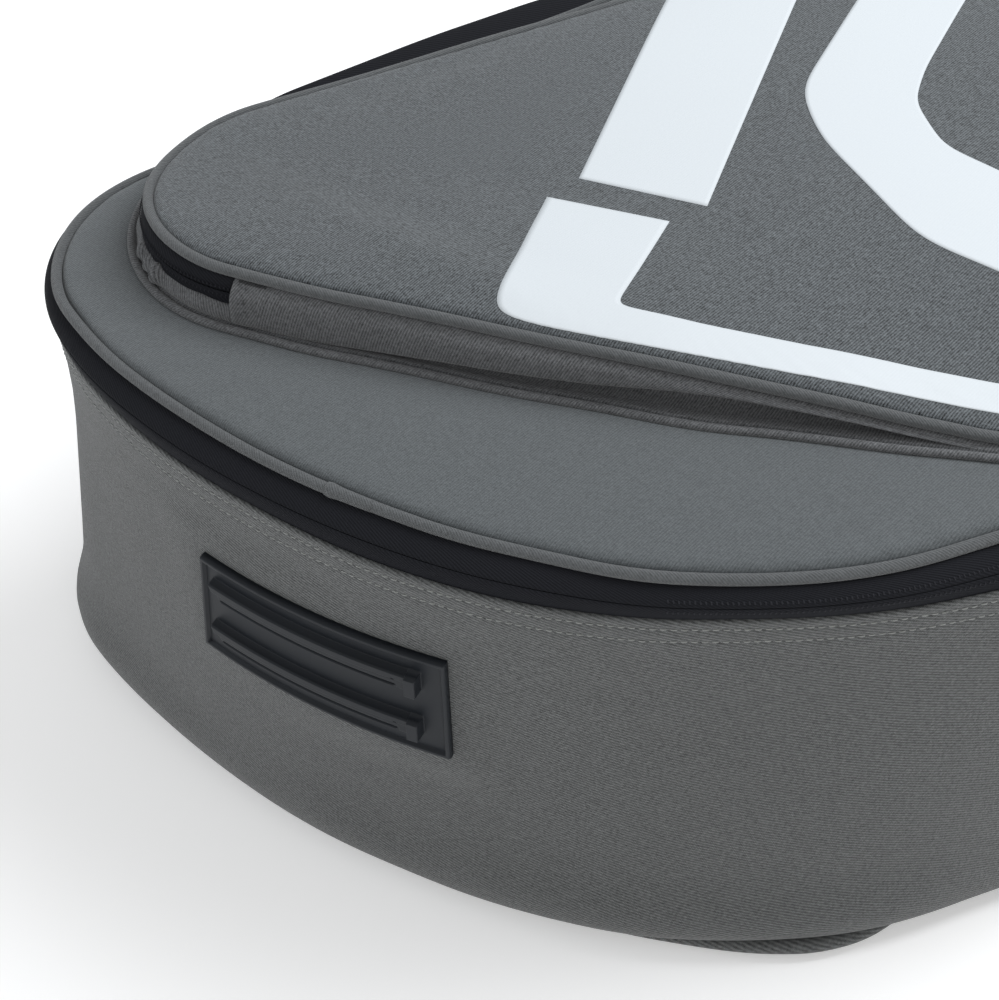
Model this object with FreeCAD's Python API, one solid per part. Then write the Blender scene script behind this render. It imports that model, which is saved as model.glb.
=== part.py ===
import FreeCAD
import Part
import math
import os

# Racket bag lying on its back.  Millimetres, +Z out of the front face,
# +Y towards the carry handle, X across.  Z = 0 is the ground.
# The left side leans in towards the handle, the right side is nearly straight.

BAG_W = 480.0          # widest point of the body
BAG_H = 404.0          # curved end to handle end
END_R = 318.0          # radius of the curved end
CORNER_R = 75.0
SIDE_TAPERS = (42.0, 12.0)   # lean of the left and right side from the Y axis, degrees
TOP_R = 55.0
Y_END = -186.0         # Y of the curved end

BACK_Z = 10.0          # underside of the back panel
WALL_TOP_Z = 190.0     # folded top edge of the wall
WALL_T = 2.5
WALL_FLARE = 7.0       # how far the foot of the wall stands out
LID_Z = 201.3          # underside of the front panel
LID_TOP_Z = 206.1
PIPING_R = 2.6
PIPING_IN = 9.6        # front piping centre, inside the wall line
HINGE_Y = 192.0        # zips stop here, the fabric hinge begins
WALL_SPLIT_Y = 20.0    # seam between the two wall pieces
PAD_Z = (0.0, 9.9)

POCKET_W = 400.0
POCKET_END_R = 935.0
POCKET_CORNER_R = 65.0
POCKET_TAPERS = (49.0, 14.0)
POCKET_Y_END = -96.0
POCKET_TOP_Y = 186.0
POCKET_TOP_R = 40.0
FLAP_Z = 218.8         # underside of the pocket flap
ZIP_END_LEFT = 146.0   # the pocket zip ends here, left and right of the middle
ZIP_END_RIGHT = 158.0
POCKET_FLOOR = LID_TOP_Z + 1.4

HANDLE_X = 69.0        # middle of the carry handle
HANDLE_Y = 235.0       # axis of the carry handle's pins
HANDLE_Z = 100.0

PLATE_X = (-141.0, -31.0)
PLATE_Z = (93.0, 153.0)

FIT = 0.1              # gap between sewn or glued pieces
RUN = 0.4              # gap between moving pieces


def vec(x, y, z=0.0):
    return FreeCAD.Vector(x, y, z)


def body_form():
    return (BAG_W, END_R, CORNER_R, SIDE_TAPERS, Y_END, Y_END + BAG_H, TOP_R)


def pocket_form():
    return (POCKET_W, POCKET_END_R, POCKET_CORNER_R, POCKET_TAPERS,
            POCKET_Y_END, POCKET_TOP_Y, POCKET_TOP_R)


def centres(form, sign):
    """Centres of the end, corner and top arc of one side, as if on the right, and its taper."""
    width, end_r, corner_r, tapers, y_end, y_top, top_r = form
    t = math.radians(tapers[1] if sign > 0 else tapers[0])
    cx = width / 2.0 - corner_r
    cy = y_end + end_r - math.sqrt((end_r - corner_r) ** 2 - cx ** 2)
    side = cx * math.cos(t) + cy * math.sin(t) + corner_r
    ty = y_top - top_r
    tx = (side - top_r - ty * math.sin(t)) / math.cos(t)
    return (0.0, y_end + end_r), (cx, cy), (tx, ty), t


def on_arc(centre, radius, angle, z):
    return vec(centre[0] + radius * math.cos(angle), centre[1] + radius * math.sin(angle), z)


def flank(form, sign, d, z):
    """Ends and middles of the arcs of one side, from the curved end to the handle end."""
    end_c, cor_c, top_c, t = centres(form, sign)
    end_r = form[1] + d
    cor_r = form[2] + d
    top_r = form[6] + d
    a0 = math.atan2(cor_c[1] - end_c[1], cor_c[0] - end_c[0])
    points = [
        on_arc(end_c, end_r, a0, z),
        on_arc(cor_c, cor_r, (a0 + t) / 2.0, z),
        on_arc(cor_c, cor_r, t, z),
        on_arc(top_c, top_r, t, z),
        on_arc(top_c, top_r, (t + math.pi / 2.0) / 2.0, z),
        on_arc(top_c, top_r, math.pi / 2.0, z),
    ]
    return [vec(sign * p.x, p.y, z) for p in points]


def outline(form, d, z):
    """Closed outline of a form, moved outwards by d, at height z."""
    right = flank(form, 1, d, z)
    left = flank(form, -1, d, z)
    bottom = vec(0.0, form[4] - d, z)
    edges = [
        Part.Arc(left[0], bottom, right[0]).toShape(),
        Part.Arc(right[0], right[1], right[2]).toShape(),
        Part.makeLine(right[2], right[3]),
        Part.Arc(right[3], right[4], right[5]).toShape(),
        Part.makeLine(right[5], left[5]),
        Part.Arc(left[5], left[4], left[3]).toShape(),
        Part.makeLine(left[3], left[2]),
        Part.Arc(left[2], left[1], left[0]).toShape(),
    ]
    return Part.Wire(edges)


def slab(form, d, z0, z1):
    return Part.Face(outline(form, d, z0)).extrude(vec(0, 0, z1 - z0))


def tapered_slab(form, d0, d1, z0, z1):
    return Part.makeLoft([outline(form, d0, z0), outline(form, d1, z1)], True, True)


def band(form, inner, outer, z0, z1):
    return slab(form, outer, z0, z1).cut(slab(form, inner, z0 - 1.0, z1 + 1.0))


def sloped_band(form, outer0, outer1, thick, z0, z1):
    """Ring whose outer face goes from outer0 at z0 to outer1 at z1."""
    outside = tapered_slab(form, outer0, outer1, z0, z1)
    slope = (outer1 - outer0) / (z1 - z0)
    inside = tapered_slab(form, outer0 - thick - slope, outer1 - thick + slope, z0 - 1.0, z1 + 1.0)
    return outside.cut(inside)


def block(x0, x1, y0, y1, z0, z1):
    return Part.makeBox(x1 - x0, y1 - y0, z1 - z0, vec(x0, y0, z0))


def near(y):
    return block(-400, 400, -400, y, -50, 400)


def far(y):
    return block(-400, 400, y, 400, -50, 400)


def tube_ring(form, d, z, radius):
    """Round piping along an outline."""
    solid = None
    for edge in outline(form, d, z).Edges:
        start = edge.valueAt(edge.FirstParameter)
        direction = edge.tangentAt(edge.FirstParameter)
        section = Part.Face(Part.Wire([Part.makeCircle(radius, start, direction)]))
        if edge.Curve.TypeId == "Part::GeomLine":
            piece = section.extrude(edge.valueAt(edge.LastParameter) - start)
        else:
            turn = math.degrees(edge.LastParameter - edge.FirstParameter)
            piece = section.revolve(edge.Curve.Center, edge.Curve.Axis, turn)
        solid = piece if solid is None else solid.fuse(piece)
    return solid.removeSplitter()


def wall_line(z):
    """How far the outside of the wall stands out at height z."""
    return WALL_FLARE * (WALL_TOP_Z - z) / (WALL_TOP_Z - BACK_Z)


def wall():
    return sloped_band(body_form(), WALL_FLARE, 0.0, WALL_T, BACK_Z, WALL_TOP_Z)


def wall_near():
    return wall().common(near(WALL_SPLIT_Y - FIT))


def wall_far():
    return wall().common(far(WALL_SPLIT_Y))


def back_panel():
    return slab(body_form(), WALL_FLARE - WALL_T - 0.3, BACK_Z, BACK_Z + 2.5)


def back_piping():
    return tube_ring(body_form(), WALL_FLARE - 4.0, BACK_Z - 2.6, 2.5)


def floor_pad():
    return slab(body_form(), -4.0, BACK_Z + 2.6, BACK_Z + 8.0)


def retaining_strap():
    z = BACK_Z + 8.0 + FIT
    strap = block(-165, 165, 0, 40, z, z + 2.0)
    buckle = block(60, 96, -4, 44, z + 2.0, z + 6.0)
    return strap.fuse(buckle).removeSplitter()


def back_pad_centre():
    return slab(body_form(), -16.0, *PAD_Z).common(block(-46, 46, -400, 400, -1, 20))


def back_pad_side(sign):
    x0, x1 = sorted((sign * 122.0, sign * 400.0))
    return slab(body_form(), -16.0, *PAD_Z).common(block(x0, x1, -400, 400, -1, 20))


def shoulder_strap(sign):
    """Padded strap lying flat against the back, its webbing tail towards the curved end."""
    x = sign * 84.0
    pad = block(x - 30, x + 30, -90, 130, 1.5, 8.5)
    corners = [e for e in pad.Edges if abs(e.Vertexes[0].Z - e.Vertexes[1].Z) > 5.0]
    return pad.makeFillet(18.0, corners)


def strap_webbing(sign):
    x = sign * 84.0
    return block(x - 12.5, x + 12.5, -128, -90 - FIT, 4.0, 6.0)


def strap_anchor(sign):
    """Folded tab sewn under the back seam."""
    corners = ((58, -128.2), (110, -128.2), (126, -170), (90, -180), (58, -128.2))
    points = [vec(sign * x, y, 1.0) for x, y in corners]
    return Part.Face(Part.makePolygon(points)).extrude(vec(0, 0, 3.6))


def rubber_plate():
    """Moulded plate with a raised rim and two long grip bars."""
    x0, x1 = PLATE_X
    z0, z1 = PLATE_Z
    form = body_form()

    def curved(proud, a0, a1, b0, b1):
        skin = tapered_slab(form, wall_line(b0) + FIT + proud, wall_line(b1) + FIT + proud, b0, b1)
        core = tapered_slab(form, wall_line(b0 - 1) + FIT, wall_line(b1 + 1) + FIT, b0 - 1, b1 + 1)
        return skin.cut(core).common(block(a0, a1, -400, 0, b0 - 2, b1 + 2))

    plate = curved(1.6, x0, x1, z0, z1)
    rim = curved(3.0, x0, x1, z0, z1)
    rim = rim.cut(curved(4.0, x0 + 4, x1 - 4, z0 + 4, z1 - 4))
    plate = plate.fuse(rim)
    for z in (z0 + 12, z1 - 23):
        plate = plate.fuse(curved(5.0, x0 + 9, x1 - 14, z, z + 11))
        plate = plate.fuse(curved(7.0, x1 - 14, x1 - 7, z - 1, z + 12))
    return plate.removeSplitter()


def zip_tape_lower():
    form = body_form()
    return sloped_band(form, 0.8, -1.8, 2.0, WALL_TOP_Z + FIT, 196.0).common(near(HINGE_Y))


def zip_tape_upper():
    form = body_form()
    return sloped_band(form, -2.0, -4.8, 2.0, 196.0 + RUN, 200.8).common(near(HINGE_Y))


def hinge_panel():
    form = body_form()
    return sloped_band(form, 0.8, -4.0, 2.0, WALL_TOP_Z + FIT, 200.7).common(far(HINGE_Y + 1.0))


def front_panel():
    form = body_form()
    edge = -PIPING_IN - PIPING_R - FIT
    base = slab(form, edge, LID_Z, LID_TOP_Z - 1.6)
    return base.fuse(tapered_slab(form, edge, edge - 3.0, LID_TOP_Z - 1.6, LID_TOP_Z)).removeSplitter()


def front_piping():
    return tube_ring(body_form(), -PIPING_IN, LID_Z + 2.3, PIPING_R)


def piping_splice():
    """Short sleeve over the place where the front piping's ends overlap."""
    form = body_form()
    outer = tube_ring(form, -PIPING_IN, LID_Z + 2.3, PIPING_R + 1.0)
    inner = tube_ring(form, -PIPING_IN, LID_Z + 2.3, PIPING_R + FIT)
    ring = outer.cut(inner).common(block(-83, -61, -400, 0, 190, 220))
    return ring.cut(slab(form, -PIPING_IN - PIPING_R + 0.6, 190, 220))


def pocket_flange():
    return band(pocket_form(), -6.0, 7.5, LID_TOP_Z + FIT, LID_TOP_Z + 1.3)


def pocket_gusset():
    """Plain fabric wall on the hinge side of the pocket."""
    ring = band(pocket_form(), -4.6, -1.0, POCKET_FLOOR, FLAP_Z - RUN)
    return ring.common(block(-ZIP_END_LEFT, ZIP_END_RIGHT, -400, 0, 190, 240))


def zip_side():
    """Everything except the hinge side of the pocket."""
    return near(400).cut(block(-ZIP_END_LEFT - FIT, ZIP_END_RIGHT + FIT, -400, 0, 100, 300))


def pocket_zip_lower():
    return band(pocket_form(), 2.0, 4.5, POCKET_FLOOR, FLAP_Z - RUN).common(zip_side())


def pocket_zip_upper():
    return band(pocket_form(), 0.1, 4.5, FLAP_Z, FLAP_Z + 2.4).common(zip_side())


def zip_end_cover(sign):
    """Folded fabric tab over the end of the pocket zip."""
    end = ZIP_END_RIGHT if sign > 0 else ZIP_END_LEFT
    x0, x1 = sorted((sign * (end - 9.0), sign * (end - 0.4)))
    ring = band(pocket_form(), -0.8, 1.8, POCKET_FLOOR, FLAP_Z - RUN)
    return ring.common(block(x0, x1, -400, 0, 190, 240))


def pocket_piping():
    return tube_ring(pocket_form(), -2.6, FLAP_Z + 2.6, 2.5)


def pocket_panel():
    form = pocket_form()
    base = slab(form, -5.3, FLAP_Z + 0.2, FLAP_Z + 3.6)
    return base.fuse(tapered_slab(form, -5.3, -9.0, FLAP_Z + 3.6, FLAP_Z + 5.4)).removeSplitter()


def handle_mount(sign):
    """Sewn tab with the pin the carry handle swings on."""
    x0, x1 = sorted((HANDLE_X + sign * 52.0, HANDLE_X + sign * 64.0))
    foot = block(x0, x1, HANDLE_Y - 53.0, HANDLE_Y - 7.0, 90, 110)
    foot = foot.cut(slab(body_form(), wall_line(90) + FIT, 80, 120))
    ear = block(x0, x1, HANDLE_Y - 13.0, HANDLE_Y + 6.4, 95, 105)
    start = vec(HANDLE_X + sign * 41.0, HANDLE_Y, HANDLE_Z)
    return foot.fuse(ear).fuse(Part.makeCylinder(3.0, 19.0, start, vec(sign, 0, 0))).removeSplitter()


def carry_handle():
    """Padded grip hanging from its two pins: a half ring with an eye at each end."""
    y0, y1 = HANDLE_Y - 50.0, HANDLE_Y + 50.0
    ring = Part.makeTorus(46.0, 8.0, vec(HANDLE_X, HANDLE_Y, HANDLE_Z), vec(0, 1, 0))
    ring = ring.common(block(HANDLE_X - 80, HANDLE_X + 80, y0, y1, 0, HANDLE_Z))
    for sign in (-1, 1):
        start = vec(HANDLE_X + sign * 46.0 - 4.5, HANDLE_Y, HANDLE_Z)
        ring = ring.fuse(Part.makeCylinder(8.0, 9.0, start, vec(1, 0, 0)))
    bore = vec(HANDLE_X - 70, HANDLE_Y, HANDLE_Z)
    ring = ring.cut(Part.makeCylinder(3.0 + RUN, 140.0, bore, vec(1, 0, 0)))
    keep = block(HANDLE_X - 50.5, HANDLE_X + 50.5, y0, y1, 0, 120)
    keep = keep.fuse(block(HANDLE_X - 80, HANDLE_X + 80, y0, y1, 0, HANDLE_Z - 18.0))
    return ring.common(keep).removeSplitter()


def side_point(form, along, out):
    """Point on the right-hand straight side, `along` from the corner arc, `out` from the line."""
    end_c, cor_c, top_c, t = centres(form, 1)
    x = cor_c[0] + (form[2] + out) * math.cos(t) - along * math.sin(t)
    y = cor_c[1] + (form[2] + out) * math.sin(t) + along * math.cos(t)
    return x, y, t


def place(shape, form, along, out, z, flip):
    """Local X runs along the side, local Y outwards, local Z up."""
    x, y, t = side_point(form, along, out)
    if flip:
        shape = shape.mirror(vec(0, 0, 0), vec(1, 0, 0))
    moved = shape.copy()
    moved.rotate(vec(0, 0, 0), vec(0, 0, 1), math.degrees(t) - 90.0)
    moved.translate(vec(x, y, z))
    return moved


def slider_shape():
    """Zip slider body with a bail bar for the pull."""
    plate = block(-7, 7, 0, 2.4, -4.5, 4.5)
    nose = block(7, 9, 0, 2.4, -2.6, 2.6)
    posts = block(-2, 2, 2.4, 7.4, -4.4, -2.8).fuse(block(-2, 2, 2.4, 7.4, 2.8, 4.4))
    bar = Part.makeCylinder(0.9, 8.0, vec(0, 5.8, -4.0), vec(0, 0, 1))
    return plate.fuse(nose).fuse(posts).fuse(bar).removeSplitter()


def pull_shape():
    """Flat pull with an eye round the bail bar."""
    eye = Part.makeCylinder(2.6, 4.6, vec(0, 5.8, -2.3), vec(0, 0, 1))
    tongue = block(-28, -1, 4.9, 6.7, -2.3, 2.3)
    grip = block(-40, -20, 4.4, 7.2, -4.0, 4.0)
    body = eye.fuse(tongue).fuse(grip)
    return body.cut(Part.makeCylinder(0.9 + RUN, 10.0, vec(0, 5.8, -5), vec(0, 0, 1))).removeSplitter()


SLIDERS = (
    ("main_slider_a", "main_pull_a", "body", 86.0, 1.4, 196.2, True),
    ("main_slider_b", "main_pull_b", "body", 110.0, 1.4, 196.2, False),
    ("pocket_slider", "pocket_pull", "pocket", 60.0, 5.0, 218.6, False),
)


def slider_parts():
    found = {}
    for slider, pull, which, along, out, z, flip in SLIDERS:
        form = body_form() if which == "body" else pocket_form()
        found[slider] = place(slider_shape(), form, along, out, z, flip)
        found[pull] = place(pull_shape(), form, along, out, z, flip)
    return found


def parts():
    found = {
        "back_panel": back_panel(),
        "back_piping": back_piping(),
        "wall_near": wall_near(),
        "wall_far": wall_far(),
        "floor_pad": floor_pad(),
        "retaining_strap": retaining_strap(),
        "back_pad_centre": back_pad_centre(),
        "back_pad_left": back_pad_side(-1),
        "back_pad_right": back_pad_side(1),
        "rubber_plate": rubber_plate(),
        "zip_tape_lower": zip_tape_lower(),
        "hinge_panel": hinge_panel(),
        "zip_tape_upper": zip_tape_upper(),
        "front_panel": front_panel(),
        "front_piping": front_piping(),
        "piping_splice": piping_splice(),
        "pocket_flange": pocket_flange(),
        "pocket_gusset": pocket_gusset(),
        "pocket_zip_lower": pocket_zip_lower(),
        "pocket_zip_upper": pocket_zip_upper(),
        "pocket_piping": pocket_piping(),
        "pocket_panel": pocket_panel(),
        "carry_handle": carry_handle(),
    }
    for side, sign in (("left", -1), ("right", 1)):
        found["shoulder_strap_" + side] = shoulder_strap(sign)
        found["strap_webbing_" + side] = strap_webbing(sign)
        found["strap_anchor_" + side] = strap_anchor(sign)
        found["zip_end_cover_" + side] = zip_end_cover(sign)
        found["handle_mount_" + side] = handle_mount(sign)
    found.update(slider_parts())
    return found


os.makedirs("parts", exist_ok=True)
for name, shape in parts().items():
    shape.exportStep("parts/" + name + ".step")
    box = shape.BoundBox
    print(name, len(shape.Solids), shape.isValid(), round(shape.Volume / 1000.0, 1),
          [round(v, 1) for v in (box.XMin, box.XMax, box.YMin, box.YMax, box.ZMin, box.ZMax)])
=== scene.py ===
import bpy
import math
import numpy as np
from mathutils import Matrix, Vector
from mathutils.bvhtree import BVHTree


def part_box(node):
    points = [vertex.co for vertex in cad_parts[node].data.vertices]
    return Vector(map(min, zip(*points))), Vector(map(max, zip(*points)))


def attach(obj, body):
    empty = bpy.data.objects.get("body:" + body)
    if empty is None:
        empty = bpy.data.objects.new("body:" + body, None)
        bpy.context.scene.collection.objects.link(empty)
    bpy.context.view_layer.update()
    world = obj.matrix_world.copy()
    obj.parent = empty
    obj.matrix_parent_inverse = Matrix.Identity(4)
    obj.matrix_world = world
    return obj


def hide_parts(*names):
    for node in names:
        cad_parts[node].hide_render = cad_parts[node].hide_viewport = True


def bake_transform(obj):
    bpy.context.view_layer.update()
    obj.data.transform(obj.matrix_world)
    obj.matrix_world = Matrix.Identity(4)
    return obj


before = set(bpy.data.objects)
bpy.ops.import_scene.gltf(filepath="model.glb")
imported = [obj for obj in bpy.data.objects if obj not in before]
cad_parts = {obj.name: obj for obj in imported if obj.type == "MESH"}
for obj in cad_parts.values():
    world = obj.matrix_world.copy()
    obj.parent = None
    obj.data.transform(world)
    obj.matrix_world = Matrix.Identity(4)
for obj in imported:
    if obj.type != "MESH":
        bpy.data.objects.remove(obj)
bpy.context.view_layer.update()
MM = 0.001
RNG = np.random.default_rng(7)

# ---------------------------------------------------------------- sizes, in millimetres
BODY = dict(width=480.0, end_r=318.0, corner_r=75.0, tapers=(42.0, 12.0),
            y_end=-186.0, y_top=218.0, top_r=55.0)
POCKET = dict(width=400.0, end_r=935.0, corner_r=65.0, tapers=(49.0, 14.0),
              y_end=-96.0, y_top=186.0, top_r=40.0)
FOLD_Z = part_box("wall_near")[1][2] / MM
FOOT_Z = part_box("wall_near")[0][2] / MM
LID_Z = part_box("front_panel")[0][2] / MM
LID_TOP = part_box("front_panel")[1][2] / MM
FLAP_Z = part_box("pocket_piping")[0][2] / MM
FLARE = 7.0
ZIP_STOP_Y = 192.0
FRONT_S = 652.0          # arc length given to the middle of the curved end
SEAM_Y = 20.0
SLIDER_S = 1066.0        # where the two closed main sliders meet, along the outline
ZIP_END_LEFT = -141.0
ZIP_END_RIGHT = 158.0
PIPING_R = 2.2
MARK_PITCH = 1.8         # of the thread marks along the zips
PIN_Z = 100.0            # height of the carry handle's pins
GRIP_REACH = 46.0        # radius of the carry handle


# ---------------------------------------------------------------- outlines
class Trace:
    """Points along a closed outline, from the middle of the handle end round by the left side."""

    def __init__(self, form, step=2.0):
        end_r, cor_r, top_r = form["end_r"], form["corner_r"], form["top_r"]
        cx = form["width"] / 2 - cor_r
        end_y = form["y_end"] + end_r
        cy = end_y - math.sqrt((end_r - cor_r) ** 2 - cx ** 2)
        ty = form["y_top"] - top_r
        t_left, t_right = (math.radians(t) for t in form["tapers"])
        tops = []
        for t in (t_left, t_right):
            side = cx * math.cos(t) + cy * math.sin(t) + cor_r
            tops.append((side - top_r - ty * math.sin(t)) / math.cos(t))
        lx, rx = -tops[0], tops[1]
        a0 = math.atan2(cy - end_y, cx)
        mid = ((lx + rx) / 2, form["y_top"])
        runs = [
            ("line", mid, (lx, form["y_top"]), (0, 1)),
            ("arc", (lx, ty), top_r, math.pi / 2, math.pi - t_left),
            ("side", -1, t_left, lx),
            ("arc", (-cx, cy), cor_r, math.pi - t_left, math.pi - a0),
            ("arc", (0, end_y), end_r, math.pi - a0, 2 * math.pi + a0),
            ("arc", (cx, cy), cor_r, 2 * math.pi + a0, 2 * math.pi + t_right),
            ("side", 1, t_right, rx),
            ("arc", (rx, ty), top_r, 2 * math.pi + t_right, 2.5 * math.pi),
            ("line", (rx, form["y_top"]), mid, (0, 1)),
        ]
        points, normals = [], []
        for run in runs:
            if run[0] == "side":
                n = np.array([run[1] * math.cos(run[2]), math.sin(run[2])])
                top = np.array([run[3], ty]) + top_r * n
                low = np.array([run[1] * cx, cy]) + cor_r * n
                a, b = (top, low) if run[1] < 0 else (low, top)
                run = ("line", a, b, n)
            if run[0] == "line":
                a, b, n = (np.array(v, float) for v in run[1:])
                count = max(2, round(np.linalg.norm(b - a) / step))
                for k in range(count):
                    points.append(a + (b - a) * k / count)
                    normals.append(n)
            else:
                _, c, r, lo, hi = run
                count = max(2, round(r * (hi - lo) / step))
                for k in range(count):
                    a = lo + (hi - lo) * k / count
                    n = np.array([math.cos(a), math.sin(a)])
                    points.append(np.array(c) + r * n)
                    normals.append(n)
        self.p = np.array(points)
        self.n = np.array(normals)
        gaps = np.linalg.norm(np.roll(self.p, -1, 0) - self.p, axis=1)
        self.s = np.concatenate([[0.0], np.cumsum(gaps)[:-1]])
        self.s += FRONT_S - self.s[np.argmin(self.p[:, 1] + 1e-3 * np.abs(self.p[:, 0]))]
        self.length = float(gaps.sum())
        self.closed = True

    def part(self, keep):
        """The stretch of samples where keep is true; it is one run, perhaps across the start."""
        index = np.arange(len(self.s))
        if not keep.all():
            first = int(np.argmin(keep))
            order = np.roll(index, -first)
            index = order[keep[order]]
        out = object.__new__(Trace)
        out.p, out.n = self.p[index], self.n[index]
        out.s = self.s[index].copy()
        out.s[index < index[0]] += self.length
        out.length, out.closed = self.length, bool(keep.all())
        return out


body = Trace(BODY)
pocket = Trace(POCKET)


def smooth_noise(s, length, wave, seed, depth=1.0):
    """Periodic smooth noise along an outline."""
    rng = np.random.default_rng(seed)
    total = np.zeros_like(np.asarray(s, float))
    top = max(2, int(length / wave))
    for k in range(max(1, top // 3), top + 1):
        total += rng.normal() * np.cos(2 * math.pi * k * s / length + rng.uniform(0, 2 * math.pi))
    return depth * total / math.sqrt(top - max(1, top // 3) + 1)


def step01(x, lo, hi):
    t = np.clip((np.asarray(x, float) - lo) / (hi - lo), 0, 1)
    return t * t * (3 - 2 * t)


def eased(x, table, soft=14.0):
    """(place, value) pairs joined by a smooth line."""
    places, values = zip(*table)
    x = np.asarray(x, float)
    return np.mean([np.interp(x + k, places, values) for k in np.linspace(-soft, soft, 9)], axis=0)


def rounded(points, times=2):
    """Corner-cut closed cross-sections; points is a (samples, points, 2) array."""
    for _ in range(times):
        ahead = np.roll(points, -1, axis=1)
        points = np.stack([points * 0.75 + ahead * 0.25, points * 0.25 + ahead * 0.75], axis=2)
        points = points.reshape(points.shape[0], -1, 2)
    return points


def sections(trace, columns):
    """Cross-sections from (offset, height) pairs, each a number or one value per sample."""
    n = len(trace.s)
    pair = [np.stack([np.broadcast_to(o, n), np.broadcast_to(h, n)], axis=1) for o, h in columns]
    return np.stack(pair, axis=1).astype(float)


# ---------------------------------------------------------------- materials
class Shader:
    """A principled material, with short calls for the nodes that drive it."""

    def __init__(self, name):
        self.mat = bpy.data.materials.new(name)
        self.mat.use_nodes = True
        self.tree = self.mat.node_tree
        self.bsdf = self.tree.nodes["Principled BSDF"]
        coord = self.node("TexCoord")
        self.uv, self.where = coord.outputs["UV"], coord.outputs["Object"]

    def feed(self, node, inputs):
        """Link each input to a socket, or give it a plain value."""
        for key, value in inputs.items():
            if isinstance(value, bpy.types.NodeSocket):
                self.tree.links.new(value, node.inputs[key])
            else:
                node.inputs[key].default_value = value

    def node(self, kind, inputs=None, operation=None):
        node = self.tree.nodes.new("ShaderNode" + kind)
        if operation:
            node.operation = operation
        self.feed(node, inputs or {})
        return node

    def math(self, operation, a, b=0.0):
        return self.node("Math", {0: a, 1: b}, operation).outputs[0]

    def scaled(self, a, factor, plus):
        return self.math("ADD", self.math("MULTIPLY", a, factor), plus)

    def vector(self, operation, inputs, output="Vector"):
        return self.node("VectorMath", inputs, operation).outputs[output]

    def wave(self, uv, along, across, pitch):
        """Sine stripes over the UV map, which is in metres; `pitch` in millimetres."""
        k = 2 * math.pi / (pitch * MM)
        norm = math.hypot(along, across)
        way = (along / norm * k, across / norm * k, 0)
        return self.math("SINE", self.vector("DOT_PRODUCT", {0: uv, 1: way}, "Value"))

    def noise(self, scale, detail=2.0, rough=0.5):
        inputs = {"Vector": self.where, "Scale": scale, "Detail": detail, "Roughness": rough}
        return self.node("TexNoise", inputs).outputs["Fac"]

    def even_noise(self, *settings):
        """Noise about zero."""
        return self.math("SUBTRACT", self.noise(*settings), 0.5)

    def surface(self, base, tone, height, strength, depth, inputs):
        """Colour times tone, bump from the height in millimetres, and the shader's other inputs."""
        bump = {"Strength": strength, "Distance": depth * MM, "Height": height}
        self.feed(self.bsdf, {"Base Color": self.vector("SCALE", {0: base, "Scale": tone}),
                              "Normal": self.node("Bump", bump).outputs[0], **inputs})
        return self.mat


def cloth_material(name, base, pitch=1.1, tilt=(1.0, 0.55), contrast=0.8, depth=0.2, sheen=0.25,
                   rough=0.78, patch=0.08):
    """Woven twill: diagonal ribs crossed by the yarns, with slow colour variation."""
    sh = Shader(name)
    wobble = sh.noise(160.0)
    wander = sh.node("CombineXYZ", {0: wobble, 1: wobble}).outputs[0]
    uv = sh.vector("ADD", {0: sh.uv, 1: sh.vector("SCALE", {0: wander, "Scale": 0.00035})})
    weft, warp = (sh.wave(uv, *way, pitch * 0.62) for way in ((1.0, 0.0), (0.0, 1.0)))
    yarn = sh.math("MULTIPLY", weft, warp)
    height = sh.scaled(sh.wave(uv, *tilt, pitch), 0.42, sh.math("MULTIPLY", yarn, 0.36))
    height = sh.scaled(sh.even_noise(850.0, 2.0, 0.7), 2.4, height)
    tone = sh.scaled(sh.even_noise(9.0, 3.0), patch, sh.scaled(height, contrast, 1.0))
    return sh.surface(base, tone, height, 0.9, depth, {
        "Roughness": sh.scaled(height, -0.06, rough), "Sheen Weight": sheen,
        "Sheen Roughness": 0.45, "Specular IOR Level": 0.28})


def ribbed_material(name, base, pitch, along, across, contrast, depth, rough=0.7, spec=0.3):
    """Tape, webbing or thread: fine ribs in one direction."""
    sh = Shader(name)
    rib = sh.wave(sh.uv, along, across, pitch)
    height = sh.scaled(sh.wave(sh.uv, across, -along, pitch * 0.5), 0.35, rib)
    height = sh.math("ADD", height, sh.even_noise(900.0))
    return sh.surface(base, sh.scaled(height, contrast, 1.0), height, 0.8, depth,
                      {"Roughness": rough, "Specular IOR Level": spec})


def moulded_material(name, base, rough=0.55, grain=0.03, metallic=0.0, spec=0.4):
    """Rubber, plastic or lacquered metal: fine grain, with slow changes of tone and gloss."""
    sh = Shader(name)
    slow = sh.noise(35.0, 3.0)
    return sh.surface(base, sh.scaled(slow, 0.5, 0.75), sh.noise(2200.0, 3.0, 0.6), 0.5, grain, {
        "Roughness": sh.scaled(slow, 0.16, rough - 0.08), "Metallic": metallic,
        "Specular IOR Level": spec})


WALL_CLOTH = cloth_material("wall_cloth", (0.087, 0.091, 0.091), 1.35, (0.3, 1.0))
PANEL_CLOTH = cloth_material("panel_cloth", (0.108, 0.119, 0.125), 1.0, (1.0, -0.5), contrast=0.34)
FLAP_CLOTH = cloth_material("flap_cloth", (0.096, 0.106, 0.113), 1.0, (1.0, -0.5), contrast=1.1)
PIPING_CLOTH = cloth_material("piping_cloth", (0.104, 0.110, 0.114), 0.9, (1.0, 1.0), contrast=0.35)
GUSSET_CLOTH = cloth_material("gusset_cloth", (0.114, 0.117, 0.122), 1.0, (1.0, 0.6))
LINING = cloth_material("lining", (0.035, 0.036, 0.038), 1.6, (1.0, 1.0), contrast=0.2, rough=0.85)
MESH_PAD = cloth_material("pad_mesh", (0.022, 0.023, 0.025), 2.6, (1.0, 1.0), contrast=0.5, depth=0.4)
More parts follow.
